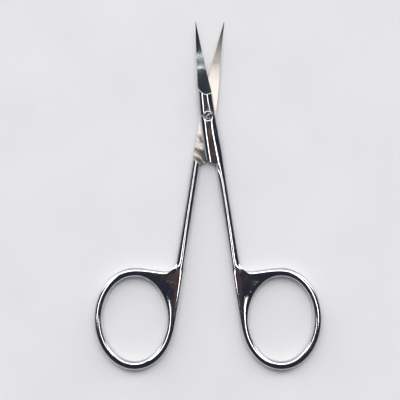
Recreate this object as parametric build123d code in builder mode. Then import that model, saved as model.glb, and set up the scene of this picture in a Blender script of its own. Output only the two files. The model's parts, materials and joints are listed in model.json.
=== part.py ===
"""Fine thread scissors: two forged steel halves with oval finger rings, held by one slotted pivot screw."""

from build123d import *
import os
from math import cos, hypot, radians, sin

os.makedirs("parts", exist_ok=True)

# ---------------------------------------------------------------- driving dimensions, mm and degrees
# Pose at rest: each half is turned this far from closed about the pivot.
half_open = 8.7

# Stock: at the pivot each half is one layer, behind the shoulder it is the full handle thickness.
layer_thickness = 1.5
handle_thickness = 3.0

# Blades, in the closed position: y runs from the pivot to the points, x is across.
blade_reach = 26.65
blade_root = 6.0
blade_ramp = 2.6
root_left = -1.90
root_right = 2.13
tip_lean = 0.56
tip_width = 0.16
left_bow = -0.12
right_bow = -0.20
tip_rise = 2.5
back_thickness_root = 1.05
back_thickness_tip = 0.38
edge_thickness_root = 0.42
edge_thickness_tip = 0.24
blade_crown = 0.10
blade_spans = 4

# Box: the flat lapped zone around the pivot, ending in a V-shaped shoulder.
box_rear = 12.4
box_rear_half = 2.45
box_half = 2.22
box_half_over_edge = 2.45
box_waist_y = -4.0
vee_depth = 14.3
box_edge_radius = 0.40

# Handles.
shank_width = 2.50
shoulder_overlap = 2.0
crook_radius = 2.4
ring_reach = 60.4
ring_hole_x = 9.36
ring_hole_y = 12.12
ring_side_wall = 2.30
ring_end_wall = 2.57
ring_tilt = 8.7
handle_edge_radius = 0.95

# Pivot screw.
screw_shaft_radius = 0.90
screw_head_radius = 1.30
screw_head_depth = 0.60
screw_dome = 0.22
screw_slot_width = 0.42
screw_slot_depth = 0.38
screw_slot_angle = 42.0
screw_end_recess = 0.05

# Clearances.
face_gap = 0.06
closed_gap = 0.30
shoulder_gap = 0.15
pivot_clearance = 0.05
head_clearance = 0.06
seat_clearance = 0.04

# ---------------------------------------------------------------- sizes that follow from them
mid_plane = max(layer_thickness, handle_thickness / 2)
inner_edge = closed_gap / 2
ring_x = ring_hole_x + ring_side_wall
ring_y = ring_hole_y + ring_end_wall
tilt_cos = cos(radians(ring_tilt))
tilt_sin = sin(radians(ring_tilt))
ring_half_width = hypot(ring_x * tilt_cos, ring_y * tilt_sin)
ring_half_length = hypot(ring_y * tilt_cos, ring_x * tilt_sin)
ring_centre_x = inner_edge + ring_half_width
ring_skew = (ring_y**2 - ring_x**2) * tilt_sin * tilt_cos
side_tangent_y = -ring_reach - ring_skew / ring_half_width
top_tangent_x = ring_centre_x + ring_skew / ring_half_length
ring_top_y = -ring_reach + ring_half_length
curve_start = blade_root + blade_ramp

# The pivot's place makes the origin the middle of the object's footprint as it lies open.
open_cos = cos(radians(half_open))
open_sin = sin(radians(half_open))
relative_tilt = radians(ring_tilt - half_open)
lying_ring_half = hypot(ring_y * cos(relative_tilt), ring_x * sin(relative_tilt))
rear_reach = ring_reach * open_cos - ring_centre_x * open_sin + lying_ring_half
front_reach = blade_reach * open_cos + tip_lean * open_sin
pivot_y = (rear_reach - front_reach) / 2


# ---------------------------------------------------------------- frames and outlines
def half_frame(side, height=0.0):
    """The plane of a half at rest: origin on the pivot, y along its closed blade, z up from the lap."""
    turn = radians(half_open * side)
    return Plane(
        origin=(0, pivot_y, mid_plane + height),
        x_dir=(cos(turn), sin(turn), 0),
        z_dir=(0, 0, 1),
    )


def section_frame(side, y):
    """The plane square to a half's blade at y, with x across and y upward."""
    frame = half_frame(side)
    return Plane(
        origin=frame.from_local_coords(Vector(0, y, 0)),
        x_dir=frame.x_dir,
        z_dir=-frame.y_dir,
    )


def blade_sides(y):
    """The two edges of the closed blades' shared outline at y."""
    along = (y - blade_root) / (blade_reach - blade_root)
    bulge = 4 * along * (1 - along)
    left = root_left + (tip_lean - tip_width / 2 - root_left) * along + left_bow * bulge
    right = root_right + (tip_lean + tip_width / 2 - root_right) * along + right_bow * bulge
    return left, right


def blade_lift(y):
    """How far the lap of the blades has curved up at y."""
    past = max(0.0, y - curve_start) / (blade_reach - curve_start)
    return tip_rise * past**2


def blade_section(side, y, root=False):
    """One cross-section of a blade: wedge from the back to the cutting edge, crowned outside."""
    left, right = blade_sides(y)
    back, edge = (left, right) if side > 0 else (right, left)
    along = max(0.0, y - curve_start) / (blade_reach - curve_start)
    back_thickness = back_thickness_root + (back_thickness_tip - back_thickness_root) * along
    edge_thickness = edge_thickness_root + (edge_thickness_tip - edge_thickness_root) * along
    lap = blade_lift(y) + side * face_gap / 2
    outer_back = blade_lift(y) + side * (layer_thickness if root else back_thickness)
    outer_edge = blade_lift(y) + side * (layer_thickness if root else edge_thickness)
    crown = 0.0 if root else side * blade_crown * (1 - along)
    crest = ((back + edge) / 2, (outer_back + outer_edge) / 2 + crown)
    with BuildSketch(section_frame(side, y)) as section:
        with BuildLine():
            Line((edge, outer_edge), (edge, lap))
            Line((edge, lap), (back, lap))
            Line((back, lap), (back, outer_back))
            if crown:
                ThreePointArc((back, outer_back), crest, (edge, outer_edge))
            else:
                Line((back, outer_back), (edge, outer_edge))
        make_face()
    return section.sketch


def box_outline(side):
    """The lapped zone of one half, from the blade root back to the V shoulder."""
    left, right = blade_sides(blade_root)
    own_root, far_root = (right, left) if side > 0 else (left, right)
    own_rear = side * box_rear_half
    own_waist = side * box_half
    far_waist = -box_half_over_edge if side > 0 else box_half
    under_shank = side * (inner_edge + shank_width / 2)
    with BuildSketch(half_frame(side, side * face_gap / 2)) as outline:
        with BuildLine():
            ThreePointArc((own_root, blade_root), (own_waist, box_waist_y), (own_rear, -box_rear))
            Polyline(
                (own_rear, -box_rear),
                (own_rear, -box_rear - shoulder_gap),
                (under_shank, -vee_depth - shoulder_overlap),
                (side * inner_edge, -vee_depth - shoulder_gap),
                (0, -vee_depth),
                (-own_rear, -box_rear),
            )
            ThreePointArc((-own_rear, -box_rear), (far_waist, box_waist_y), (far_root, blade_root))
            Line((far_root, blade_root), (own_root, blade_root))
        make_face()
    return outline.sketch


def handle_outline(side):
    """Shank, web and finger ring of one half."""
    crook = (side * (inner_edge + shank_width), ring_top_y)
    with BuildSketch(half_frame(side)) as outline:
        with BuildLine():
            Polyline(
                (side * inner_edge, -vee_depth - shoulder_gap),
                (side * inner_edge, side_tangent_y),
                (side * ring_centre_x, -ring_reach),
                (side * top_tangent_x, ring_top_y),
                crook,
                (side * box_rear_half, -box_rear - shoulder_gap),
                close=True,
            )
        make_face()
        fillet(outline.vertices().sort_by_distance(crook)[0], crook_radius)
        with Locations((side * ring_centre_x, -ring_reach)):
            Ellipse(ring_x, ring_y, rotation=-side * ring_tilt)
            Ellipse(ring_hole_x, ring_hole_y, rotation=-side * ring_tilt, mode=Mode.SUBTRACT)
    return outline.sketch


def blade(side):
    """A curved blade, from the box's end face through the ramp to the point."""
    span = (blade_reach - curve_start) / blade_spans
    blade_stations = [curve_start + span * i for i in range(blade_spans + 1)]
    with BuildPart() as solid:
        loft([blade_section(side, blade_root, root=True), blade_section(side, curve_start)], ruled=True)
        loft([blade_section(side, y) for y in blade_stations])
    return solid.part


def half(side):
    """One forged half without its pivot hole: handle, shoulder, box layer and blade."""
    with BuildPart() as box:
        extrude(box_outline(side), amount=side * (layer_thickness - face_gap / 2))
        outer_face = box.faces().sort_by(Axis.Z)[-1 if side > 0 else 0]
        fillet(outer_face.edges().filter_by(GeomType.CIRCLE), box_edge_radius)
    with BuildPart() as solid:
        extrude(handle_outline(side), amount=handle_thickness / 2, both=True)
        flats = solid.faces().filter_by(Axis.Z)
        shoulder_edges = len(flats)  # one on each flat, the nearest to the pivot, stays sharp
        rims = flats.edges().sort_by_distance(half_frame(side).origin)[shoulder_edges:]
        fillet(rims, handle_edge_radius)
        add(box.part)
        add(blade(side))
    return solid.part


# ---------------------------------------------------------------- the pieces
outer_top = mid_plane + layer_thickness
bore_radius = screw_shaft_radius + pivot_clearance

with BuildPart() as upper_half:
    add(half(1))
    with Locations((0, pivot_y, outer_top)):
        CounterBoreHole(
            radius=bore_radius,
            counter_bore_radius=screw_head_radius + head_clearance,
            counter_bore_depth=screw_head_depth + seat_clearance,
            depth=layer_thickness,
        )
upper_half.part.label = "upper_half"

with BuildPart() as lower_half:
    add(half(-1))
    with Locations((0, pivot_y, mid_plane)):
        Hole(radius=screw_shaft_radius, depth=layer_thickness)
lower_half.part.label = "lower_half"

with BuildPart() as pivot_screw:
    with BuildSketch(Plane.XZ.offset(-pivot_y)) as profile:
        with BuildLine():
            Polyline(
                (0, outer_top + screw_dome),
                (0, mid_plane - layer_thickness + screw_end_recess),
                (screw_shaft_radius, mid_plane - layer_thickness + screw_end_recess),
                (screw_shaft_radius, outer_top - screw_head_depth),
                (screw_head_radius, outer_top - screw_head_depth),
                (screw_head_radius, outer_top),
            )
            dome_radius = (screw_head_radius**2 + screw_dome**2) / (2 * screw_dome)
            RadiusArc((screw_head_radius, outer_top), (0, outer_top + screw_dome), -dome_radius)
        make_face()
    revolve(axis=Axis((0, pivot_y, 0), (0, 0, 1)))
    slot_floor = outer_top + screw_dome - screw_slot_depth
    slot_length = 2 * (screw_head_radius + screw_slot_width)  # runs out past the head at both ends
    with BuildSketch(Plane((0, pivot_y, slot_floor))) as slot:
        Rectangle(slot_length, screw_slot_width, rotation=screw_slot_angle)
    extrude(amount=layer_thickness, mode=Mode.SUBTRACT)
pivot_screw.part.label = "pivot_screw"

for piece in (upper_half, lower_half, pivot_screw):
    export_step(piece.part, f"parts/{piece.part.label}.step")
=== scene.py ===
"""Fine thread scissors: two polished steel halves with finger rings, and their slotted pivot screw."""

import json
from math import atan2, cos, hypot, pi, radians, sin, sqrt

import bmesh
import bpy
from mathutils import Matrix, Vector

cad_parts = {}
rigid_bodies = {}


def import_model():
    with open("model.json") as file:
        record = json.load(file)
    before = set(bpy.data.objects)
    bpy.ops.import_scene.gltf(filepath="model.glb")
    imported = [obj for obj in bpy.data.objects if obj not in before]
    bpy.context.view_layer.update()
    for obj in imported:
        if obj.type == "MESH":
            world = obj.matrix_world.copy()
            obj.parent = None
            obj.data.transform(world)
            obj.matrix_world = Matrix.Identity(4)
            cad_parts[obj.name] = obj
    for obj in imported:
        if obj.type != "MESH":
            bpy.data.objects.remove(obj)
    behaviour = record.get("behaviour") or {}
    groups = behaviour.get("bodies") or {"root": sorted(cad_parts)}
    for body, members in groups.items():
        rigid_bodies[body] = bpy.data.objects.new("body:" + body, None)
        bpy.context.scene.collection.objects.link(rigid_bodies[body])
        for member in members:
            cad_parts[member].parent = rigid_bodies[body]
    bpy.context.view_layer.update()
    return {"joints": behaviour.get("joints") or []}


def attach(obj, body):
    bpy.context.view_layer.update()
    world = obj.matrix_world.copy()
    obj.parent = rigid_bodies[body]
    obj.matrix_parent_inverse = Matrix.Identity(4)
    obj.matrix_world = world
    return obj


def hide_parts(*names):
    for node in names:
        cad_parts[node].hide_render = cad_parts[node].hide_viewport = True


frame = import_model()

bl_info = {
    "name": "Thread scissors",
    "version": (1, 0, 0),
    "blender": (4, 5, 0),
    "location": "3D View > Sidebar > Scissors",
    "description": "Builds a pair of fine curved-point thread scissors around their packed frame",
    "category": "Add Mesh",
}

MM = 0.001
JOINT = frame["joints"][0]
PIVOT = Vector(JOINT["pos_m"])
HALF_OPEN = radians(-JOINT["range_deg"][0]) / 2
LIE_BODY = JOINT["parent"]
TOP_BODY = JOINT["child"]
UPPER = 1
LOWER = -1


# ------------------------------------------------------------------ sizes and colours
def length(name, millimetres, description):
    """A length property, given in millimetres."""
    return bpy.props.FloatProperty(
        name=name, description=description, default=millimetres * MM, unit="LENGTH", precision=5
    )


def share(name, value, description):
    """A factor from 0 to 1."""
    return bpy.props.FloatProperty(
        name=name, description=description, default=value, min=0.0, max=1.0, subtype="FACTOR"
    )


def angle(name, degrees, description):
    """An angle property, given in degrees."""
    return bpy.props.FloatProperty(
        name=name, description=description, default=radians(degrees), subtype="ANGLE"
    )


def colour(name, value, description):
    """A colour property."""
    return bpy.props.FloatVectorProperty(
        name=name, description=description, default=value, size=3, min=0.0, max=1.0, subtype="COLOR"
    )


class ScissorsBlade(bpy.types.PropertyGroup):
    """Sizes of the blades and of the lapped box around the pivot, as they lie when closed."""

    reach: length("Reach", 26.65, "Pivot to the point")
    root: length("Root", 6.0, "Pivot to where the outline starts to taper")
    root_left: length("Left at the root", -1.90, "Left side of the shared outline at the root")
    root_right: length("Right at the root", 2.13, "Right side of the shared outline at the root")
    tip_lean: length("Tip lean", 0.56, "How far right of the closed centreline the points stand")
    tip_width: length("Tip width", 0.16, "Width of a point")
    left_bow: length("Left bow", -0.12, "Bulge of the left side between root and point")
    right_bow: length("Right bow", -0.20, "Bulge of the right side between root and point")
    lift_start: length("Lift start", 8.6, "Pivot to where the blades begin to curve up")
    tip_rise: length("Tip rise", 2.5, "How far the points curve up")
    layer: length("Layer", 1.5, "Thickness of one half at the pivot")
    face_gap: length("Face gap", 0.06, "Hollow between the two lapped faces")
    back_root: length("Back at the root", 1.0, "Thickness of a blade's back near the root")
    back_tip: length("Back at the point", 0.34, "Thickness of a blade's back at the point")
    ground_slope: share("Ground slope", 0.19, "How much the ground face falls across the blade")
    box_rear: length("Box rear", 12.4, "Pivot to the outer corners of the shoulder")
    box_rear_half: length("Box rear half width", 2.45, "Half the width at the shoulder's corners")
    box_half: length("Box half width", 2.22, "Half the width beside the pivot")
    box_half_back: length("Box half width, back", 2.45, "Half the width on the upper half's back")
    waist: length("Waist", -4.0, "Where the box's two half widths are measured")
    vee: length("Vee", 1.9, "Depth of the V-shaped shoulder")
    valley: length("Valley", 0.06, "Depth of the hollow between the two ridges behind the screw")
    valley_start: length("Valley start", -3.2, "Pivot to where the hollow begins")
    valley_run: length("Valley run", 8.5, "Length over which the hollow deepens")
    bore_row: length("Bore row", 1.55, "Pivot to the control rows before and behind the bore")
    scallop_foot: length("Ground face foot", 5.85, "Pivot to the nearest point of the ground face")
    scallop_back: length("Ground face at the back", 2.3, "How much further it starts at the back")
    scallop_edge: length("Ground face at the edge", 3.0, "How fast it recedes towards the cutting edge")
    scallop_turn: share("Ground face turn", 0.62, "Where across the blade the ground face starts nearest")


class ScissorsHandle(bpy.types.PropertyGroup):
    """Sizes of the shanks, webs and finger rings."""

    closed_gap: length("Closed gap", 0.30, "Daylight between the handles when closed")
    shank_width: length("Shank width", 2.50, "Width of a shank at the ring")
    shoulder_gap: length("Shoulder gap", 0.15, "Clearance of the shoulder")
    crook: length("Crook radius", 2.4, "Radius between the shank and the top of the ring")
    ring_reach: length("Ring reach", 60.4, "Pivot to the ring's centre, along the closed scissors")
    hole_x: length("Hole half width", 9.36, "Half the finger hole's width")
    hole_y: length("Hole half length", 12.12, "Half the finger hole's length")
    side_wall: length("Side wall", 2.30, "Ring's width at its sides")
    end_wall: length("End wall", 2.57, "Ring's width at its ends")
    tilt: angle("Ring tilt", 8.7, "Turn of the oval from the closed centreline")
    rim: length("Rim height", 0.75, "Half the height of the upright part of a handle's side")
    shoulder: length("Shoulder height", 1.22, "Height of the control line between rim and crest")
    crest: length("Crest height", 1.64, "Height of the control line along a handle's middle")
    web_shoulder: length("Web shoulder height", 1.48, "Height of a web's control line near its rim")
    web_crest: length("Web crest height", 1.505, "Height of the control lines of a web's flat")
    web_rim: length("Web rim", 0.30, "Width of the rounding along a web's edge")
    web_reach: length("Web reach", 1.0, "How far the shank's own lines run on into the web")
    ring_flat: share("Ring flat", 0.75, "How flat the ring's top is, beside a web's")
    flat_run: length("Flat run", 15.0, "How far up the shank the web's flat runs out")
    ridge_run: length("Ridge run", 8.0, "How far the box's two ridges run on into the shank")


class ScissorsScrew(bpy.types.PropertyGroup):
    """Sizes of the pivot screw and of its seat."""

    shaft: length("Shaft radius", 0.90, "Radius of the bearing shaft")
    head: length("Head radius", 1.30, "Radius of the head")
    head_depth: length("Head depth", 0.60, "Depth of the head below the outer face")
    dome: length("Dome", 0.22, "How far the head's dome stands proud")
    slot_width: length("Slot width", 0.42, "Width of the screwdriver slot")
    slot_depth: length("Slot depth", 0.38, "Depth of the slot below the dome")
    slot_angle: angle("Slot angle", 42.0, "Turn of the slot from the X axis")
    end_recess: length("End recess", 0.05, "How far the screw's end stops short of the underside")
    bore_play: length("Bore play", 0.05, "Radial clearance of the shaft in the upper half")
    head_play: length("Head play", 0.06, "Radial clearance of the head in its seat")
    seat_play: length("Seat play", 0.04, "Clearance under the head")


# ------------------------------------------------------------------ outline of a closed half
# Across the box and blade, from the far side to the handle's side: places, heights as shares of the
# layer, and depths as shares of the valley.
COLUMN_SHARES = (0.0, 0.07, 0.23, 0.38, 0.53, 0.60, 0.765, 0.93, 1.0)
BOX_PROFILE = (0.45, 0.76, 0.965, 1.0, 1.0, 0.995, 0.94, 0.71, 0.45)
VALLEY_PROFILE = (0.0, 0.0, 0.0, 0.7, 1.0, 0.6, 0.0, 0.0, 0.0)
CENTRE_COLUMN = 4

# Along the box and blade, in millimetres from the pivot. Each row behind the pivot also has its share of
# the V. The ground face's rows count from its foot, with a 1 for those on the ground face, and the bands
# are the narrow strips beside the shoulder and the point.
SHOULDER_BAND = 0.45
REAR_ROWS = ((-9.6, 0.7), (-6.6, 0.35), (-3.4, 0.0))
FRONT_ROW = 3.4
SCALLOP_ROWS = ((-0.35, 0.0), (0.0, 0.0), (0.06, 1.0), (1.2, 1.0))
BLADE_ROWS = (11.2, 14.6, 18.0, 21.0, 23.6)
POINT_BAND = 0.5

# The rows and columns around the bore, and the row along the ground face's foot.
BORE_ROWS = (5, 6, 7)
BORE_COLUMNS = (2, 3, 4, 5, 6)
SCALLOP_ROW = 10

# Across a handle, and along the shank in millimetres from the pivot, each row with its share of the V.
# The band is the narrow strip beside the shoulder.
LANE_SHARES = (0.0, 0.16, 0.5, 0.84, 1.0)
SHANK_BAND = 0.5
SHANK_ROWS = ((-16.2, 0.45), (-20.0, 0.1), (-27.0, 0.0), (-34.5, 0.0), (-40.0, 0.0))

# Round a ring: steps along the web and free of it, the step where the shank begins, and the web's points
# as shares of the ring's top and of the shank's inner side. The onset is how soon the web turns flat.
WEB_STEPS = 14
FREE_STEPS = 22
SHANK_FIRST = 5
WEB_TOP_SHARES = (1.0, 0.60, 0.26, 0.0)
WEB_SIDE_SHARES = (0.17, 0.37, 0.58, 0.79, 1.0)
WEB_ONSET = 4.0


def through(y, low, middle, high):
    """The parabola through three (y, x) points, at y."""
    (a, p), (b, q), (c, r) = low, middle, high
    first = p * (y - b) * (y - c) / ((a - b) * (a - c))
    second = q * (y - a) * (y - c) / ((b - a) * (b - c))
    third = r * (y - a) * (y - b) / ((c - a) * (c - b))
    return first + second + third


def smooth(value):
    """A smooth step from 0 to 1."""
    value = min(1.0, max(0.0, value))
    return value * value * (3 - 2 * value)


def mixed(first, second, amount):
    """Between the first and the second value."""
    return first + (second - first) * amount


def sides(y, side, s):
    """The far side and the handle's side of a half's blade and box at y."""
    if y >= s.root:
        along = (y - s.root) / (s.reach - s.root)
        bulge = 4 * along * (1 - along)
        left = mixed(s.root_left, s.tip_lean - s.tip_width / 2, along) + s.left_bow * bulge
        right = mixed(s.root_right, s.tip_lean + s.tip_width / 2, along) + s.right_bow * bulge
    else:
        left_waist = s.box_half_back if side == UPPER else s.box_half
        left = through(y, (-s.box_rear, -s.box_rear_half), (s.waist, -left_waist), (s.root, s.root_left))
        right = through(y, (-s.box_rear, s.box_rear_half), (s.waist, s.box_half), (s.root, s.root_right))
    return (left, right) if side == UPPER else (right, left)


def lift(y, s):
    """How far the lap of the blades has curved up at y."""
    return s.tip_rise * (max(0.0, y - s.lift_start) / (s.reach - s.lift_start)) ** 2


def vee_drop(x, s):
    """How far the V shoulder reaches back at x."""
    return s.vee * (1 - min(1.0, abs(x) / s.box_rear_half))


def scallop(across, s):
    """Where the ground face of a blade begins, from its back (0) to its cutting edge (1)."""
    if across < s.scallop_turn:
        return s.scallop_foot + s.scallop_back * (1 - across / s.scallop_turn) ** 2
    return s.scallop_foot + s.scallop_edge * (across - s.scallop_turn) ** 2


def box_height(column, y, s):
    """Outer height of the box: rounded sides, two ridges and a hollow that deepens to the V."""
    hollow = VALLEY_PROFILE[column] * s.valley * smooth((s.valley_start - y) / s.valley_run)
    return s.layer * BOX_PROFILE[column] - hollow


def ground_height(column, y, width, s):
    """Outer height of the ground blade: a wedge that falls from the back to the edge."""
    along = max(0.0, (y - s.lift_start) / (s.reach - s.lift_start))
    return mixed(s.back_root, s.back_tip, along) - s.ground_slope * width * COLUMN_SHARES[column]


def row_edges(bm, row):
    """The edges that join a row's corners in turn."""
    return [bm.edges.get(pair) for pair in zip(row, row[1:])]


def loop_edges(bm, loop):
    """The edges that join a closed loop's corners in turn."""
    return row_edges(bm, loop + loop[:1])


def draw_out(bm, edges):
    """Extrudes edges in place and returns the new corners."""
    grown = bmesh.ops.extrude_edge_only(bm, edges=edges)["geom"]
    return [g for g in grown if isinstance(g, bmesh.types.BMVert)]


def in_turn(fresh, row):
    """New corners in the order of the row's, which they lie on."""
    return [min(fresh, key=lambda v, old=old: (v.co - old.co).length) for old in row]


def blade_rows(s):
    """Rows of the box and blade from the V shoulder to the point: kind, place and amount."""
    rows = [("box", -s.box_rear, 1.0), ("box", -s.box_rear + SHOULDER_BAND * MM, 1.0)]
    rows += [("box", y * MM, amount) for y, amount in REAR_ROWS]
    rows += [("box", y, 0.0) for y in (-s.bore_row, 0.0, s.bore_row, FRONT_ROW * MM)]
    rows += [("scallop", y * MM, amount) for y, amount in SCALLOP_ROWS]
    rows += [("blade", y * MM, 1.0) for y in BLADE_ROWS]
    rows += [("blade", s.reach - POINT_BAND * MM, 1.0), ("blade", s.reach, 1.0)]
    return rows


def lay_blade_sheet(bm, side, s, layers):
    """A flat sheet of the box and blade in plan, nine columns wide; returns its verts by row."""
    rows = blade_rows(s)
    columns = len(COLUMN_SHARES)
    made = bmesh.ops.create_grid(bm, x_segments=columns - 1, y_segments=len(rows) - 1, size=1.0)
    verts = sorted(made["verts"], key=lambda v: (round(v.co.y, 4), round(v.co.x, 4)))
    grid = [verts[i * columns:(i + 1) * columns] for i in range(len(rows))]
    for (kind, place, amount), row in zip(rows, grid):
        for column, vert in enumerate(row):
            across = COLUMN_SHARES[column]
            y = scallop(across, s) + place if kind == "scallop" else place
            far, own = sides(y, side, s)
            x = mixed(far, own, across)
            if kind == "box" or not amount:
                outer = box_height(column, y, s)
            else:
                outer = ground_height(column, y, abs(own - far), s)
            if kind == "box":
                y -= vee_drop(x, s) * amount
            vert.co = (x, y, 0.0)
            vert[layers["lap"]] = lift(y, s) + side * s.face_gap / 2
            vert[layers["outer"]] = lift(y, s) + side * outer
    return grid


def round_loop(loop, side, radius):
    """Sets a loop of corners evenly on a circle, wide enough for the smoothed loop to have the radius."""
    step = 2 * pi / len(loop)
    control = radius / (2 / 3 + cos(step) / 3)
    for number, vert in enumerate(loop):
        vert.co.x = side * control * cos(number * step)
        vert.co.y = control * sin(number * step)


def open_bore(bm, grid):
    """Opens the sheet around the pivot and returns the hole's corners in order round it."""
    low, middle, high = BORE_ROWS
    first, last = BORE_COLUMNS[0], BORE_COLUMNS[-1]
    rising = [(middle, last)] + [(high, c) for c in reversed(BORE_COLUMNS)]
    falling = [(middle, first)] + [(low, c) for c in BORE_COLUMNS]
    loop = [grid[row][column] for row, column in rising + falling]
    inside = [grid[middle][column] for column in BORE_COLUMNS[1:-1]]
    bmesh.ops.delete(bm, geom=inside, context="VERTS")
    return loop


# ------------------------------------------------------------------ handle of a closed half
def handle_heights(h, flat, flat_outer=0.0):
    """Half heights of a handle's control lines, flattened by a share on the inner and the outer side."""
    inner = mixed(h.shoulder, h.web_shoulder, flat)
    middle = mixed(h.crest, h.web_crest, flat)
    outer = mixed(h.shoulder, h.web_shoulder, flat_outer)
    return (h.rim, inner, middle, outer, h.rim)


def ring_facts(h):
    """Centre, outer half axes, top and tangent turns of a closed right-hand ring."""
    outer_x, outer_y = h.hole_x + h.side_wall, h.hole_y + h.end_wall
    c, t = cos(h.tilt), sin(h.tilt)
    half_width = hypot(outer_x * c, outer_y * t)
    half_length = hypot(outer_y * c, outer_x * t)
    centre = Vector((h.closed_gap / 2 + half_width, -h.ring_reach, 0.0))
    top_turn = atan2(outer_y * c, -outer_x * t)
    side_turn = pi + atan2(outer_y * t, outer_x * c)
    return {
        "centre": centre,
        "axes": (outer_x, outer_y),
        "top": centre.y + half_length,
        "turns": (top_turn, side_turn),
    }


def oval(ring, h, turn, lane_share):
    """A point of the ring, from its outer edge (0) to its hole (1)."""
    outer_x, outer_y = ring["axes"]
    x = mixed(outer_x, h.hole_x, lane_share) * cos(turn)
    y = mixed(outer_y, h.hole_y, lane_share) * sin(turn)
    c, t = cos(h.tilt), sin(h.tilt)
    return ring["centre"] + Vector((x * c + y * t, y * c - x * t, 0.0))


def web_outline(ring, h):
    """The web's outline: along the ring's top, round the crook, across the shank, down the side."""
    inner = h.closed_gap / 2
    outer = inner + h.shank_width
    crook_centre = Vector((outer + h.crook, ring["top"] + h.crook, 0.0))
    top_x = oval(ring, h, ring["turns"][0], 0.0).x
    points = [Vector((mixed(crook_centre.x, top_x, k), ring["top"], 0.0)) for k in WEB_TOP_SHARES]
    points.append(crook_centre - Vector((h.crook, h.crook, 0.0)) * sqrt(0.5))
    end = crook_centre.y
    points += [Vector((inner + h.shank_width * k, end, 0.0)) for k in reversed(LANE_SHARES)]
    side_y = oval(ring, h, ring["turns"][1], 0.0).y
    points += [Vector((inner, mixed(end, side_y, k), 0.0)) for k in WEB_SIDE_SHARES]
    return points


def lay_ring_sheet(bm, side, h, layers):
    """A flat sheet of the ring and web in plan, five lanes wide."""
    ring = ring_facts(h)
    first_turn, last_turn = ring["turns"]
    free = first_turn + 2 * pi - last_turn
    turns = [mixed(first_turn, last_turn, i / WEB_STEPS) for i in range(WEB_STEPS)]
    turns += [last_turn + free * i / FREE_STEPS for i in range(FREE_STEPS)]
    bmesh.ops.create_circle(bm, segments=len(turns), radius=1.0)
    loops = [bm.verts[:]]
    edges = bm.edges[:]
    for _ in LANE_SHARES[1:]:
        loops.append(draw_out(bm, edges))
        edges = [e for e in bm.edges if all(v in loops[-1] for v in e.verts)]
    around = 2 * pi - radians(1.0)  # a turn just short of a full one counts as none
    loops = [sorted(loop, key=lambda v: atan2(v.co.y, v.co.x) % around) for loop in loops]
    outline = web_outline(ring, h)
    under_shank = range(SHANK_FIRST + 1, SHANK_FIRST + 4)
    shank_end = handle_heights(h, 1.0)
    for step, turn in enumerate(turns):
        points = [oval(ring, h, turn, lane) for lane in LANE_SHARES]
        web = smooth(WEB_ONSET * sin(pi * step / WEB_STEPS)) if step < WEB_STEPS else 0.0
        web = mixed(h.ring_flat, 1.0, web)
        heights = list(handle_heights(h, web, web))
        if step <= WEB_STEPS:
            points[0] = outline[step]
            inward = (points[3] - points[0]).normalized()
            reach = h.web_reach if step in under_shank else h.web_rim
            points[1] = points[0] + inward * reach
            points[2] = (points[1] + points[3]) / 2
        if step in under_shank:
            heights[0] = shank_end[SHANK_FIRST + 4 - step]
            heights[1] = h.web_crest
        for lane, point in enumerate(points):
            vert = loops[lane][step]
            vert.co = (side * point.x, point.y, 0.0)
            vert[layers["lap"]] = -side * heights[lane]
            vert[layers["outer"]] = side * heights[lane]
    return ring


def lay_shank_sheet(bm, side, s, h, grid, ring, layers):
    """Draws the shank out of the box's last row, down to the ring; returns its rows."""
    inner = h.closed_gap / 2
    start, end = -s.box_rear - h.shoulder_gap, ring["top"] + h.crook
    stations = [(start, 1.0), (start - SHANK_BAND * MM, 1.0)]
    stations += [(y * MM, amount) for y, amount in SHANK_ROWS] + [(end, 0.0)]
    rows = [grid[0][CENTRE_COLUMN:]]
    for y, amount in stations:
        row = in_turn(draw_out(bm, row_edges(bm, rows[-1])), rows[-1])
        width = mixed(s.box_rear_half - inner, h.shank_width, (y - start) / (end - start))
        ridges = 1 - smooth((start - y) / h.ridge_run)
        rounded = handle_heights(h, smooth((end + h.flat_run - y) / h.flat_run))
        for lane, vert in enumerate(row):
            x = inner + width * LANE_SHARES[lane]
            height = mixed(rounded[lane], box_height(CENTRE_COLUMN + lane, y, s), ridges)
            vert.co = (side * x, y - vee_drop(x, s) * amount, 0.0)
            vert[layers["lap"]] = -side * rounded[lane]
            vert[layers["outer"]] = side * height
        rows.append(row)
    return rows


# ------------------------------------------------------------------ from sheet to half
POLISHED, LAPPED, GROUND = range(3)  # a half's material slots
SHARP, BLADE_EDGE, SHOULDER_LINE, BOX_EDGE = 1.0, 0.9, 0.8, 0.4  # crease strengths
MERGE_DISTANCE = 0.02 * MM
ROUNDING_LEVELS = 3


def mark_creases(bm, grid, shank, bore, layers):
    """Marks on the flat sheet which lines stay sharp below, on the lap, and above, outside."""
    lapped = {v for row in grid for v in row if v.is_valid}
    ground = {v for row in grid[SCALLOP_ROW:] for v in row}
    for edge in bm.edges:
        if edge.is_boundary and all(v in lapped for v in edge.verts):
            edge[layers["lap_crease"]] = SHARP
            blade = all(v in ground for v in edge.verts)
            edge[layers["outer_crease"]] = BLADE_EDGE if blade else BOX_EDGE
    for edge in loop_edges(bm, bore):
        edge[layers["outer_crease"]] = SHARP
    for row, strength in ((shank[0], SHARP), (shank[1], SHOULDER_LINE)):
        for edge in row_edges(bm, row):
            edge[layers["lap_crease"]] = strength
    for row in grid[SCALLOP_ROW:SCALLOP_ROW + 2]:
        for edge in row_edges(bm, row):
            edge[layers["outer_crease"]] = SHARP
    for face in bm.faces:
        face.material_index = LAPPED if all(v in lapped for v in face.verts) else POLISHED


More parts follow.
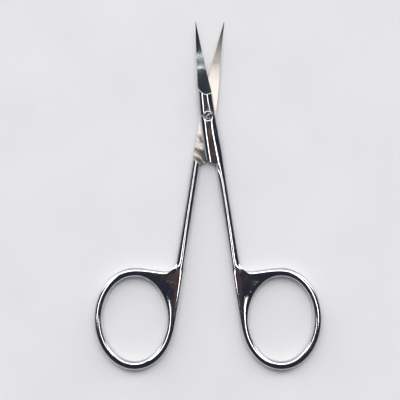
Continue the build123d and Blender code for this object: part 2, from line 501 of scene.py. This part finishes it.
def thicken(bm, s, layers):
    """Turns the flat sheet into a closed cage: lap side at one face, outer side at the other."""
    grown = bmesh.ops.extrude_face_region(bm, geom=bm.faces[:], use_keep_orig=True)["geom"]
    outer = {g for g in grown if isinstance(g, bmesh.types.BMVert)}
    for vert in bm.verts:
        vert.co.z = vert[layers["outer"]] if vert in outer else vert[layers["lap"]]
    for edge in bm.edges:
        above = sum(v in outer for v in edge.verts)
        kept = {0: layers["lap_crease"], 2: layers["outer_crease"]}.get(above)
        edge[layers["crease"]] = edge[kept] if kept else 0.0
    for face in bm.faces:
        above = sum(v in outer for v in face.verts)
        if above == len(face.verts):
            blade = face.calc_center_median().y > s.scallop_foot
            face.material_index = GROUND if blade and face.material_index == LAPPED else POLISHED
        elif above:
            face.material_index = POLISHED
    return outer


def seat_bore(bm, side, bore, outer, s, w, layers):
    """Shapes the pivot hole: a counterbored seat in the upper half, a plain hole in the lower."""
    walls = [next(e for e in v.link_edges if e.other_vert(v) in outer) for v in bore]
    loop = [edge.other_vert(vert) for edge, vert in zip(walls, bore)]
    if side == LOWER:
        round_loop(bore, side, w.shaft)
        round_loop(loop, side, w.shaft)
        return
    hole, head = w.shaft + w.bore_play, w.head + w.head_play
    seat = s.layer - w.head_depth - w.seat_play
    both = set(bore + loop)
    wall_faces = [f for f in bm.faces if len(f.verts) == 4 and all(v in both for v in f.verts)]
    bmesh.ops.delete(bm, geom=wall_faces, context="FACES_ONLY")
    bmesh.ops.delete(bm, geom=walls, context="EDGES")
    round_loop(bore, side, hole)
    round_loop(loop, side, head)
    for radius in (head, hole):
        loop = in_turn(draw_out(bm, loop_edges(bm, loop)), loop)
        round_loop(loop, side, radius)
        for vert, edge in zip(loop, loop_edges(bm, loop)):
            vert.co.z = seat
            edge[layers["crease"]] = SHARP
    bmesh.ops.bridge_loops(bm, edges=loop_edges(bm, loop) + loop_edges(bm, bore))


def make_half(side, name, node, body):
    """Builds one forged half: ring, web, shank, shoulder, box, bore and blade, as one closed mesh."""
    scene = bpy.context.scene
    s, h, w = scene.scissors_blade, scene.scissors_handle, scene.scissors_screw
    bm = bmesh.new()
    layers = {key: bm.verts.layers.float.new(key) for key in ("lap", "outer")}
    layers.update({key: bm.edges.layers.float.new(key) for key in ("lap_crease", "outer_crease")})
    layers["crease"] = bm.edges.layers.float.new("crease_edge")
    ring = lay_ring_sheet(bm, side, h, layers)
    grid = lay_blade_sheet(bm, side, s, layers)
    bore = open_bore(bm, grid)
    shank = lay_shank_sheet(bm, side, s, h, grid, ring, layers)
    mark_creases(bm, grid, shank, bore, layers)
    bmesh.ops.remove_doubles(bm, verts=bm.verts, dist=MERGE_DISTANCE)
    bmesh.ops.recalc_face_normals(bm, faces=bm.faces)
    outer = thicken(bm, s, layers)
    seat_bore(bm, side, bore, outer, s, w, layers)
    for key in ("lap", "outer"):
        bm.verts.layers.float.remove(bm.verts.layers.float[key])
    for key in ("lap_crease", "outer_crease"):
        bm.edges.layers.float.remove(bm.edges.layers.float[key])
    bmesh.ops.rotate(bm, cent=(0, 0, 0), matrix=Matrix.Rotation(side * HALF_OPEN, 3, "Z"), verts=bm.verts)
    bmesh.ops.translate(bm, vec=PIVOT, verts=bm.verts)
    bmesh.ops.recalc_face_normals(bm, faces=bm.faces)
    piece = add_piece(bm, name, [polished_steel(), lapped_steel(), ground_steel()])
    round_off(piece)
    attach(piece, body)
    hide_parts(node)


def round_off(piece):
    """Smooths a cage by subdivision and keeps the result as the piece's own mesh."""
    rounding = piece.modifiers.new("Rounding", "SUBSURF")
    rounding.levels = rounding.render_levels = ROUNDING_LEVELS
    cage = piece.data
    seen = piece.evaluated_get(bpy.context.evaluated_depsgraph_get())
    piece.data = bpy.data.meshes.new_from_object(seen)
    piece.modifiers.clear()
    bpy.data.meshes.remove(cage)
    piece.data.name = piece.name


def add_piece(bm, name, materials):
    """Makes an object of a finished bmesh, smooth shaded, at the origin."""
    for face in bm.faces:
        face.smooth = True
    mesh = bpy.data.meshes.new(name)
    bm.to_mesh(mesh)
    bm.free()
    for material in materials:
        mesh.materials.append(material)
    piece = bpy.data.objects.new(name, mesh)
    bpy.context.scene.collection.objects.link(piece)
    return piece


# ------------------------------------------------------------------ pivot screw
HEAD_SEGMENTS = 48
DOME_RINGS = 3
RINGS_IN_RADIUS = 9
EDGE_BREAK = 0.05 * MM
EDGE_BREAK_STEPS = 3
KEEN_ANGLE = radians(30)


def make_screw(name, node, body):
    """Builds the slotted screw: two domed lobes on a head, over a plain shaft."""
    scene = bpy.context.scene
    s, w = scene.scissors_blade, scene.scissors_screw
    outer_face = PIVOT.z + s.layer
    floor = outer_face + w.dome - w.slot_depth
    bm = bmesh.new()
    disc = bmesh.ops.create_circle(bm, cap_ends=True, segments=HEAD_SEGMENTS, radius=w.head)["verts"]
    bmesh.ops.translate(bm, vec=(0, 0, floor), verts=disc)
    across = Vector((-sin(w.slot_angle), cos(w.slot_angle), 0.0))
    for way in (1, -1):
        wall = across * way * w.slot_width / 2
        everything = bm.verts[:] + bm.edges[:] + bm.faces[:]
        bmesh.ops.bisect_plane(bm, geom=everything, plane_co=wall, plane_no=across)
    lobes = [f for f in bm.faces if abs(f.calc_center_median().dot(across)) > w.slot_width / 2]
    raised = bmesh.ops.extrude_face_region(bm, geom=lobes)["geom"]
    tops = [g for g in raised if isinstance(g, bmesh.types.BMFace)]
    corners = [g for g in raised if isinstance(g, bmesh.types.BMVert)]
    bmesh.ops.translate(bm, vec=(0, 0, w.slot_depth), verts=corners)
    for _ in range(DOME_RINGS):
        bmesh.ops.inset_region(bm, faces=tops, thickness=w.head / RINGS_IN_RADIUS, use_even_offset=True)
    for vert in {v for face in bm.faces for v in face.verts if v.co.z > floor + w.slot_depth / 2}:
        radius = min(w.head, hypot(vert.co.x, vert.co.y))
        vert.co.z = outer_face + w.dome * (1 - (radius / w.head) ** 2)
    rim = [e for e in bm.edges if e.is_boundary]
    under_head = outer_face - w.head_depth
    end = PIVOT.z - s.layer + w.end_recess
    for radius, z in ((w.head, under_head), (w.shaft, under_head), (w.shaft, end)):
        fresh = draw_out(bm, rim)
        rim = [e for e in bm.edges if e.is_boundary and all(v in fresh for v in e.verts)]
        for vert in fresh:
            size = radius / hypot(vert.co.x, vert.co.y)
            vert.co = (vert.co.x * size, vert.co.y * size, z)
    bmesh.ops.holes_fill(bm, edges=rim)
    bmesh.ops.recalc_face_normals(bm, faces=bm.faces)
    keen = [e for e in bm.edges if len(e.link_faces) == 2 and e.calc_face_angle() > KEEN_ANGLE]
    bmesh.ops.bevel(bm, geom=keen, offset=EDGE_BREAK, offset_type="OFFSET", segments=EDGE_BREAK_STEPS,
                    profile=0.5, affect="EDGES", material=-1, clamp_overlap=True)
    bmesh.ops.translate(bm, vec=(PIVOT.x, PIVOT.y, 0), verts=bm.verts)
    piece = add_piece(bm, name, [screw_steel()])
    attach(piece, body)
    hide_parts(node)


# ------------------------------------------------------------------ finishes
EVEN = (1.0, 1.0, 1.0)
HAIRLINE_SETS = ((12.0, 5200.0), (-33.0, 4300.0), (71.0, 4700.0))  # turn in degrees, noise scale
HAIRLINE_SQUEEZE = (1.0, 0.045, 1.0)
FINE_SQUEEZE = (1.0, 0.03, 1.0)
COARSE_SQUEEZE = (1.0, 0.05, 1.0)
BAND_SQUEEZE = (0.35, 1.0, 1.0)
BUMP_DEPTH = 0.01 * MM


def new_group(name, inputs, outputs):
    """An empty shader node group with float inputs and the given outputs."""
    group = bpy.data.node_groups.new(name, "ShaderNodeTree")
    for label, value in inputs:
        socket = group.interface.new_socket(label, in_out="INPUT", socket_type="NodeSocketFloat")
        socket.default_value = value
    for label, kind in outputs:
        group.interface.new_socket(label, in_out="OUTPUT", socket_type=kind)
    entry = group.nodes.new("NodeGroupInput")
    leave = group.nodes.new("NodeGroupOutput")
    return group, entry, leave


def node(tree, kind, **values):
    """Adds a node; a value named after an input sets it, any other sets the node's own property."""
    made = tree.nodes.new(kind)
    for key, value in values.items():
        label = key.replace("_", " ").title()
        if label in made.inputs:
            made.inputs[label].default_value = value
        else:
            setattr(made, key, value)
    return made


def stretched_noise(tree, squeeze, scale, detail, turn=0.0):
    """Noise on Object coordinates, turned about Z; a squeeze below 1 draws it out along that axis."""
    place = node(tree, "ShaderNodeTexCoord")
    mapping = node(tree, "ShaderNodeMapping", vector_type="TEXTURE")
    mapping.inputs["Scale"].default_value = [1 / amount for amount in squeeze]
    mapping.inputs["Rotation"].default_value[2] = turn
    grain = node(tree, "ShaderNodeTexNoise", scale=scale, detail=detail)
    tree.links.new(place.outputs["Object"], mapping.inputs["Vector"])
    tree.links.new(mapping.outputs["Vector"], grain.inputs["Vector"])
    return grain.outputs["Fac"]


def coordinate(tree, axis, kind="Object"):
    """One coordinate of a point on a piece or, for the room, of a direction."""
    place = node(tree, "ShaderNodeTexCoord")
    parts = node(tree, "ShaderNodeSeparateXYZ")
    tree.links.new(place.outputs[kind], parts.inputs["Vector"])
    return parts.outputs[axis]


def ramp(tree, source, low, high, low_value=0.0, high_value=1.0):
    """Maps a value from low..high to low_value..high_value, clamped."""
    made = tree.nodes.new("ShaderNodeMapRange")
    made.inputs["From Min"].default_value = low
    made.inputs["From Max"].default_value = high
    made.inputs["To Min"].default_value = low_value
    made.inputs["To Max"].default_value = high_value
    tree.links.new(source, made.inputs["Value"])
    return made.outputs["Result"]


def blend_colours(tree, factor, first, second):
    """Mixes two colours; either may be a socket."""
    made = node(tree, "ShaderNodeMix", data_type="RGBA")
    for slot, value in ((6, first), (7, second)):
        if isinstance(value, bpy.types.NodeSocket):
            tree.links.new(value, made.inputs[slot])
        else:
            made.inputs[slot].default_value = (*value, 1.0)
    tree.links.new(factor, made.inputs[0])
    return made.outputs[2]


def calculate(tree, operation, first, second):
    """A Math node of two operands; either may be a socket or a number."""
    made = node(tree, "ShaderNodeMath", operation=operation)
    for slot, value in enumerate((first, second)):
        if isinstance(value, bpy.types.NodeSocket):
            tree.links.new(value, made.inputs[slot])
        else:
            made.inputs[slot].default_value = value
    return made.outputs[0]


def handling_marks():
    """Group: cloudy smears, hairline scratches and specks left by handling, as masks from 0 to 1."""
    name = "Handling marks"
    if name in bpy.data.node_groups:
        return bpy.data.node_groups[name]
    outputs = [(label, "NodeSocketFloat") for label in ("Smears", "Hairlines", "Specks")]
    group, _, leave = new_group(name, [], outputs)
    cloud = stretched_noise(group, EVEN, scale=260.0, detail=4.0)
    group.links.new(ramp(group, cloud, low=0.45, high=0.68), leave.inputs["Smears"])
    lines = 0.0
    for degrees, scale in HAIRLINE_SETS:
        line = stretched_noise(group, HAIRLINE_SQUEEZE, scale, detail=1.0, turn=radians(degrees))
        lines = calculate(group, "MAXIMUM", lines, ramp(group, line, low=0.68, high=0.74))
    group.links.new(lines, leave.inputs["Hairlines"])
    speck = stretched_noise(group, EVEN, scale=3400.0, detail=1.0)
    group.links.new(ramp(group, speck, low=0.63, high=0.72), leave.inputs["Specks"])
    return group


def edge_wear():
    """Group: a mask that is 1 on worn convex edges, broken up by noise."""
    name = "Edge wear"
    if name in bpy.data.node_groups:
        return bpy.data.node_groups[name]
    group, entry, leave = new_group(name, [("Reach", 0.55)], [("Wear", "NodeSocketFloat")])
    shape = group.nodes.new("ShaderNodeNewGeometry")
    patch = stretched_noise(group, EVEN, scale=900.0, detail=3.0)
    keen = calculate(group, "SUBTRACT", shape.outputs["Pointiness"], entry.outputs["Reach"])
    keen = ramp(group, keen, low=0.0, high=0.08)
    broken = ramp(group, patch, low=0.38, high=0.62)
    group.links.new(calculate(group, "MULTIPLY", keen, broken), leave.inputs["Wear"])
    return group


def grinding_lines():
    """Group: the height of grinding lines along the lower half, and slanting bands, a mask for painted
    dark reflection and for roughness.
    """
    name = "Grinding lines"
    if name in bpy.data.node_groups:
        return bpy.data.node_groups[name]
    outputs = [("Height", "NodeSocketFloat"), ("Bands", "NodeSocketFloat")]
    group, _, leave = new_group(name, [], outputs)
    along, askew = -HALF_OPEN, -HALF_OPEN - radians(4.0)
    fine = stretched_noise(group, FINE_SQUEEZE, scale=9000.0, detail=2.0, turn=along)
    coarse = stretched_noise(group, COARSE_SQUEEZE, scale=3000.0, detail=2.0, turn=askew)
    group.links.new(calculate(group, "ADD", fine, coarse), leave.inputs["Height"])
    bands = stretched_noise(group, BAND_SQUEEZE, scale=620.0, detail=3.0, turn=radians(-38.0))
    group.links.new(ramp(group, bands, low=0.38, high=0.54), leave.inputs["Bands"])
    return group


def place_group(tree, group):
    """Puts a group into a material."""
    made = tree.nodes.new("ShaderNodeGroup")
    made.node_tree = group
    return made


def new_metal(name):
    """A fresh metal material: its tree and its shader."""
    material = bpy.data.materials.new(name)
    material.use_nodes = True
    tree = material.node_tree
    shader = tree.nodes["Principled BSDF"]
    shader.inputs["Metallic"].default_value = 1.0
    return material, tree, shader


def roughen(tree, shader, clean, *marks):
    """Sets the roughness: the clean surface's value plus each mask times its amount."""
    masks = [calculate(tree, "MULTIPLY", mask, amount) for mask, amount in marks]
    total = masks[0]
    for mask in masks[1:]:
        total = calculate(tree, "ADD", total, mask)
    tree.links.new(calculate(tree, "ADD", total, clean), shader.inputs["Roughness"])


def add_bump(tree, shader, height, strength, distance=BUMP_DEPTH):
    """Feeds a height into the shader's normal."""
    bump = node(tree, "ShaderNodeBump", strength=strength, distance=distance)
    tree.links.new(height, bump.inputs["Height"])
    tree.links.new(bump.outputs["Normal"], shader.inputs["Normal"])


def polished_steel():
    """Mirror-polished forged steel with smears, hairlines, specks and brighter worn edges."""
    name = "polished_steel"
    if name in bpy.data.materials:
        return bpy.data.materials[name]
    finish = bpy.context.scene.scissors_finish
    material, tree, shader = new_metal(name)
    marks = place_group(tree, handling_marks())
    wear = place_group(tree, edge_wear())
    tint = blend_colours(tree, marks.outputs["Smears"], finish.steel, finish.steel_warm)
    worn = blend_colours(tree, wear.outputs["Wear"], tint, finish.steel_worn)
    tree.links.new(worn, shader.inputs["Base Color"])
    smears, hairlines, specks = (marks.outputs[label] for label in ("Smears", "Hairlines", "Specks"))
    roughen(tree, shader, finish.polish, (smears, 0.07), (hairlines, 0.12), (wear.outputs["Wear"], 0.10))
    add_bump(tree, shader, calculate(tree, "ADD", hairlines, specks), strength=0.10, distance=-BUMP_DEPTH)
    return material


def lapped_steel():
    """Satin steel of the faces that slide on each other, with lengthwise grinding lines, painted dark
    reflection in slanting bands behind the shoulder and painted shade towards the points.
    """
    name = "lapped_steel"
    if name in bpy.data.materials:
        return bpy.data.materials[name]
    finish = bpy.context.scene.scissors_finish
    material, tree, shader = new_metal(name)
    lines = place_group(tree, grinding_lines())
    marks = place_group(tree, handling_marks())
    along = coordinate(tree, "Y")
    # Painted dark reflection: slanting dark bands on the lapped face behind the shoulder, where the
    # hollow-ground face reflects dark.
    plain_end, banded_start = PIVOT.y - 5.0 * MM, PIVOT.y - 6.5 * MM
    by_shoulder = ramp(tree, along, plain_end, banded_start, low_value=0.12)
    shaded = calculate(tree, "MULTIPLY", lines.outputs["Bands"], by_shoulder)
    tint = blend_colours(tree, shaded, finish.lapped, finish.lapped_band_shade)
    # Painted shade: the lapped face's colour darkens towards the points, where the curving blade turns
    # away from the light.
    bright_end, dark_start = PIVOT.y + 12.5 * MM, PIVOT.y + 25.0 * MM
    tint = blend_colours(tree, ramp(tree, along, bright_end, dark_start), tint, finish.lapped_point_shade)
    tree.links.new(tint, shader.inputs["Base Color"])
    roughen(tree, shader, finish.satin, (lines.outputs["Bands"], 0.10), (marks.outputs["Specks"], 0.10))
    add_bump(tree, shader, lines.outputs["Height"], strength=0.35)
    return material


def ground_steel():
    """Bright ground steel of the blades' outer faces, with faint grinding lines."""
    name = "ground_steel"
    if name in bpy.data.materials:
        return bpy.data.materials[name]
    finish = bpy.context.scene.scissors_finish
    material, tree, shader = new_metal(name)
    lines = place_group(tree, grinding_lines())
    marks = place_group(tree, handling_marks())
    tint = blend_colours(tree, marks.outputs["Smears"], finish.ground, finish.steel)
    tree.links.new(tint, shader.inputs["Base Color"])
    roughen(tree, shader, finish.polish, (marks.outputs["Smears"], 0.03), (lines.outputs["Bands"], 0.03))
    add_bump(tree, shader, lines.outputs["Height"], strength=0.015)
    return material


def screw_steel():
    """Turned screw steel with turning rings, with painted shade darkening its slot and the ring round its
    rim.
    """
    name = "screw_steel"
    if name in bpy.data.materials:
        return bpy.data.materials[name]
    scene = bpy.context.scene
    s, w, finish = scene.scissors_blade, scene.scissors_screw, scene.scissors_finish
    material, tree, shader = new_metal(name)
    marks = place_group(tree, handling_marks())
    wear = place_group(tree, edge_wear())
    place = node(tree, "ShaderNodeTexCoord")
    centre = node(tree, "ShaderNodeMapping")
    centre.inputs["Location"].default_value = (-PIVOT.x, -PIVOT.y, 0.0)
    centre.inputs["Scale"].default_value = (1.0, 1.0, 0.0)
    rings = node(tree, "ShaderNodeTexWave", wave_type="RINGS", rings_direction="Z")
    rings.inputs["Scale"].default_value = 2600.0
    rings.inputs["Distortion"].default_value = 1.5
    tree.links.new(place.outputs["Object"], centre.inputs["Vector"])
    tree.links.new(centre.outputs["Vector"], rings.inputs["Vector"])
    tint = blend_colours(tree, marks.outputs["Specks"], finish.screw, finish.steel_warm)
    worn = blend_colours(tree, wear.outputs["Wear"], tint, finish.steel_worn)
    radius = node(tree, "ShaderNodeVectorMath", operation="LENGTH")
    tree.links.new(centre.outputs["Vector"], radius.inputs[0])
    floor = PIVOT.z + s.layer + w.dome - w.slot_depth
    # Painted shade: the slot's floor and a ring round the head are darkened and roughened, where the
    # recesses lie in shadow.
    at_rim = ramp(tree, radius.outputs["Value"], w.head - 0.14 * MM, w.head - 0.04 * MM)
    in_slot = ramp(tree, coordinate(tree, "Z"), floor + 0.14 * MM, floor + 0.06 * MM)
    recess_shade_mask = calculate(tree, "MAXIMUM", at_rim, in_slot)
    shaded = blend_colours(tree, recess_shade_mask, worn, finish.recess_shade_tint)
    tree.links.new(shaded, shader.inputs["Base Color"])
    roughen(tree, shader, finish.turned, (rings.outputs["Fac"], 0.10), (recess_shade_mask, 0.30))
    add_bump(tree, shader, rings.outputs["Fac"], strength=0.12)
    return material


# ------------------------------------------------------------------ stage
FLOOR_HALF = 1500 * MM
PAPER_MOTTLE = 0.965  # brightness of the paper's darker patches
GLOW_RISE = 0.12
CARD_ABOVE_CAMERA = 5 * MM
CARD_HALF_WIDTH = 20 * MM
CARD_FROM, CARD_TO = -100 * MM, 60 * MM

# Flat lamps in metres: place in plan, size across and along the way they lean, radiance and tint.
LAMP_HEIGHT = 0.60
LAMPS = {
    "lamp_right": ((0.155, 0.0), (0.20, 0.055), 8.0, (1.0, 0.98, 0.96)),
    "lamp_left": ((-0.19, 0.0), (0.20, 0.055), 8.0, (0.97, 0.98, 1.0)),
    "lamp_far": ((0.0, 0.21), (0.34, 0.14), 3.8, (1.0, 0.98, 0.94)),
    "tube_far": ((0.265, 0.066), (0.008, 0.11), 2.8, (0.93, 1.0, 0.95)),
    "tube_near": ((0.265, 0.011), (0.009, 0.11), 3.0, (0.93, 1.0, 0.95)),
    "tube_cover": ((0.265, 0.038), (0.040, 0.11), 0.10, (0.93, 1.0, 0.95)),
}


def add_card(name, low, high, height, tint):
    """A flat studio card overhead, faintly bright in its own colour, between two corners in plan."""
    bm = bmesh.new()
    bmesh.ops.create_grid(bm, x_segments=1, y_segments=1, size=0.5)
    size = Vector((high[0] - low[0], high[1] - low[1], 1.0))
    bmesh.ops.scale(bm, vec=size, verts=bm.verts)
    middle = ((low[0] + high[0]) / 2, (low[1] + high[1]) / 2, height)
    bmesh.ops.translate(bm, vec=middle, verts=bm.verts)
    material = bpy.data.materials.new(name)
    material.use_nodes = True
    shader = material.node_tree.nodes["Principled BSDF"]
    shader.inputs["Base Color"].default_value = (*tint, 1.0)
    shader.inputs["Roughness"].default_value = 0.8
    shader.inputs["Emission Color"].default_value = (*tint, 1.0)
    shader.inputs["Emission Strength"].default_value = 1.0
    add_piece(bm, name, [material])


def add_floor(stage):
    """A wide sheet of pale paper, very slightly mottled."""
    bm = bmesh.new()
    bmesh.ops.create_grid(bm, x_segments=1, y_segments=1, size=FLOOR_HALF)
    material = bpy.data.materials.new("pale_paper")
    material.use_nodes = True
    tree = material.node_tree
    shader = tree.nodes["Principled BSDF"]
    shader.inputs["Roughness"].default_value = 0.9
    shader.inputs["Specular IOR Level"].default_value = 0.2
    mottle = ramp(tree, stretched_noise(tree, EVEN, scale=45.0, detail=5.0), low=0.35, high=0.65)
    shade = [channel * PAPER_MOTTLE for channel in stage.paper]
    paper = blend_colours(tree, mottle, shade, stage.paper)
    tree.links.new(paper, shader.inputs["Base Color"])
    add_piece(bm, "paper_floor", [material])


def add_lamp(name, place, size, radiance, tint):
    """A flat lamp at a place in plan, aimed at the middle of the object."""
    lamp = bpy.data.lights.new(name, "AREA")
    lamp.shape = "RECTANGLE"
    lamp.size, lamp.size_y = size
    lamp.energy = radiance * pi * size[0] * size[1]
    lamp.color = tint
    holder = bpy.data.objects.new(name, lamp)
    holder.location = (*place, LAMP_HEIGHT)
    holder.rotation_euler = (-Vector((*place, LAMP_HEIGHT))).to_track_quat("-Z", "Y").to_euler()
    bpy.context.scene.collection.objects.link(holder)


def light_room(stage):
    """The room's own light: bright beyond the points, hazy low down on the left, and dim elsewhere."""
    world = bpy.data.worlds.new("soft_room")
    bpy.context.scene.world = world
    world.use_nodes = True
    tree = world.node_tree
    x, y, z = (coordinate(tree, axis, "Generated") for axis in "XYZ")
    rise = ramp(tree, y, stage.glow_start, stage.glow_start + GLOW_RISE)
    fade = ramp(tree, y, low=0.80, high=0.67, low_value=0.12)
    glow = calculate(tree, "MULTIPLY", rise, fade)
    low_down = ramp(tree, z, low=0.55, high=0.15)
    on_left = ramp(tree, x, low=0.4, high=-0.4, low_value=0.15)
    haze = calculate(tree, "MULTIPLY", low_down, on_left)
    walls = blend_colours(tree, haze, stage.wall, stage.haze)
    sky = blend_colours(tree, glow, walls, stage.glow)
    back = tree.nodes["Background"]
    tree.links.new(sky, back.inputs["Color"])
    back.inputs["Strength"].default_value = stage.glow_strength


def place_camera(stage):
    """A camera straight above, with the object a little right of and above the view's middle."""
    camera = bpy.data.cameras.new("camera_above")
    camera.sensor_width = 36.0
    camera.lens = camera.sensor_width * stage.camera_height / stage.view_width
    camera.clip_start = 0.01
    holder = bpy.data.objects.new("camera_above", camera)
    holder.location = (stage.aim_x, stage.aim_y, PIVOT.z + stage.camera_height)
    bpy.context.scene.collection.objects.link(holder)
    bpy.context.scene.camera = holder


# ------------------------------------------------------------------ operators, panel and settings
class ScissorsFinish(bpy.types.PropertyGroup):
    """Colours and polish of the steel, with the colours of its painted shade and painted dark reflection.
    """

    steel: colour("Steel", (0.60, 0.60, 0.62), "Polished steel")
    steel_warm: colour("Warm steel", (0.58, 0.54, 0.53), "Polished steel under a smear")
    steel_worn: colour("Worn steel", (0.78, 0.77, 0.76), "Steel on worn edges")
    ground: colour("Ground steel", (0.56, 0.61, 0.585), "Outer faces of the blades")
    lapped: colour("Lapped steel", (0.86, 0.80, 0.73), "Faces that slide on each other")
    # Painted dark reflection: the slanting bands on the lapped face by the shoulder.
    lapped_band_shade: colour("Lapped steel, dark", (0.09, 0.085, 0.085), "Dirt in the grinding by the shoulder")
    # Painted shade: the lapped faces near the points.
    lapped_point_shade: colour("Lapped steel, points", (0.16, 0.125, 0.14), "Lapped faces near the points")
    screw: colour("Screw steel", (0.90, 0.87, 0.84), "Pivot screw")
    # Painted shade: the screw's slot and the ring round its head.
    recess_shade_tint: colour("Grime", (0.05, 0.045, 0.04), "Dirt in the screw's slot and round its head")
    polish: share("Polish roughness", 0.055, "Roughness of clean polished steel")
    satin: share("Satin roughness", 0.30, "Roughness of the lapped faces")
    turned: share("Turned roughness", 0.50, "Roughness of the screw")


class ScissorsStage(bpy.types.PropertyGroup):
    """Camera, paper and light."""

    camera_height: length("Camera height", 350.0, "Camera above the lap")
    view_width: length("View width", 114.08, "Width of the view at the lap")
    aim_x: length("Aim X", -2.25, "Where the camera looks, across")
    aim_y: length("Aim Y", -0.96, "Where the camera looks, along")
    paper: colour("Paper", (0.87, 0.87, 0.89), "Floor")
    glow: colour("Glow", (1.0, 1.0, 1.0), "Bright part of the room")
    wall: colour("Walls", (0.009, 0.011, 0.017), "Dim part of the room")
    haze: colour("Haze", (0.16, 0.16, 0.17), "Room near the floor")
    glow_strength: bpy.props.FloatProperty(
        name="Glow strength", description="Brightness of the bright part of the room", default=2.9, min=0.0
    )
    glow_start: bpy.props.FloatProperty(
        name="Glow start", description="Y of a direction in which the bright part starts", default=0.30
    )
    card: colour("Card", (0.050, 0.030, 0.027), "Dark card above the camera")


class SCISSORS_OT_stage(bpy.types.Operator):
    """Lay the paper, light the room and place the camera"""

    bl_idname = "scissors.stage"
    bl_label = "Stage"

    def execute(self, context):
        stage = context.scene.scissors_stage
        context.scene.view_settings.view_transform = "Standard"
        add_floor(stage)
        height = PIVOT.z + stage.camera_height + CARD_ABOVE_CAMERA
        low = (stage.aim_x - CARD_HALF_WIDTH, CARD_FROM)
        high = (stage.aim_x + CARD_HALF_WIDTH, CARD_TO)
        add_card("card_overhead", low, high, height, stage.card)
        for name, lamp in LAMPS.items():
            add_lamp(name, *lamp)
        light_room(stage)
        place_camera(stage)
        return {"FINISHED"}


class SCISSORS_OT_upper_half(bpy.types.Operator):
    """Build the upper half: left blade, right shank and right ring"""

    bl_idname = "scissors.upper_half"
    bl_label = "Upper half"

    def execute(self, context):
        make_half(UPPER, "forged_upper_half", "upper_half", TOP_BODY)
        return {"FINISHED"}


class SCISSORS_OT_lower_half(bpy.types.Operator):
    """Build the lower half: right blade, left shank and left ring"""

    bl_idname = "scissors.lower_half"
    bl_label = "Lower half"

    def execute(self, context):
        make_half(LOWER, "forged_lower_half", "lower_half", LIE_BODY)
        return {"FINISHED"}


class SCISSORS_OT_pivot_screw(bpy.types.Operator):
    """Build the slotted pivot screw"""

    bl_idname = "scissors.pivot_screw"
    bl_label = "Pivot screw"

    def execute(self, context):
        make_screw("slotted_screw", "pivot_screw", LIE_BODY)
        return {"FINISHED"}


class SCISSORS_PT_panel(bpy.types.Panel):
    """Lists the pieces and the stage"""

    bl_idname = "SCISSORS_PT_panel"
    bl_label = "Thread scissors"
    bl_space_type = "VIEW_3D"
    bl_region_type = "UI"
    bl_category = "Scissors"

    def draw(self, context):
        for operator in OPERATORS:
            self.layout.operator(operator.bl_idname)
        for name in SETTINGS:
            settings = getattr(context.scene, name)
            for key in settings.bl_rna.properties.keys()[OWN_FIRST:]:
                self.layout.prop(settings, key)


SETTINGS = {
    "scissors_blade": ScissorsBlade,
    "scissors_handle": ScissorsHandle,
    "scissors_screw": ScissorsScrew,
    "scissors_finish": ScissorsFinish,
    "scissors_stage": ScissorsStage,
}
OPERATORS = (SCISSORS_OT_stage, SCISSORS_OT_lower_half, SCISSORS_OT_upper_half, SCISSORS_OT_pivot_screw)
OWN_FIRST = 2  # a group's own properties come after rna_type and name


def register():
    for kind in (*SETTINGS.values(), *OPERATORS, SCISSORS_PT_panel):
        bpy.utils.register_class(kind)
    for name, kind in SETTINGS.items():
        setattr(bpy.types.Scene, name, bpy.props.PointerProperty(type=kind))


def unregister():
    for name in SETTINGS:
        delattr(bpy.types.Scene, name)
    for kind in (SCISSORS_PT_panel, *reversed(OPERATORS), *reversed(SETTINGS.values())):
        bpy.utils.unregister_class(kind)


def main():
    register()
    bpy.ops.scissors.stage()
    bpy.ops.scissors.lower_half()
    bpy.ops.scissors.upper_half()
    bpy.ops.scissors.pivot_screw()


if __name__ == "__main__":
    main()
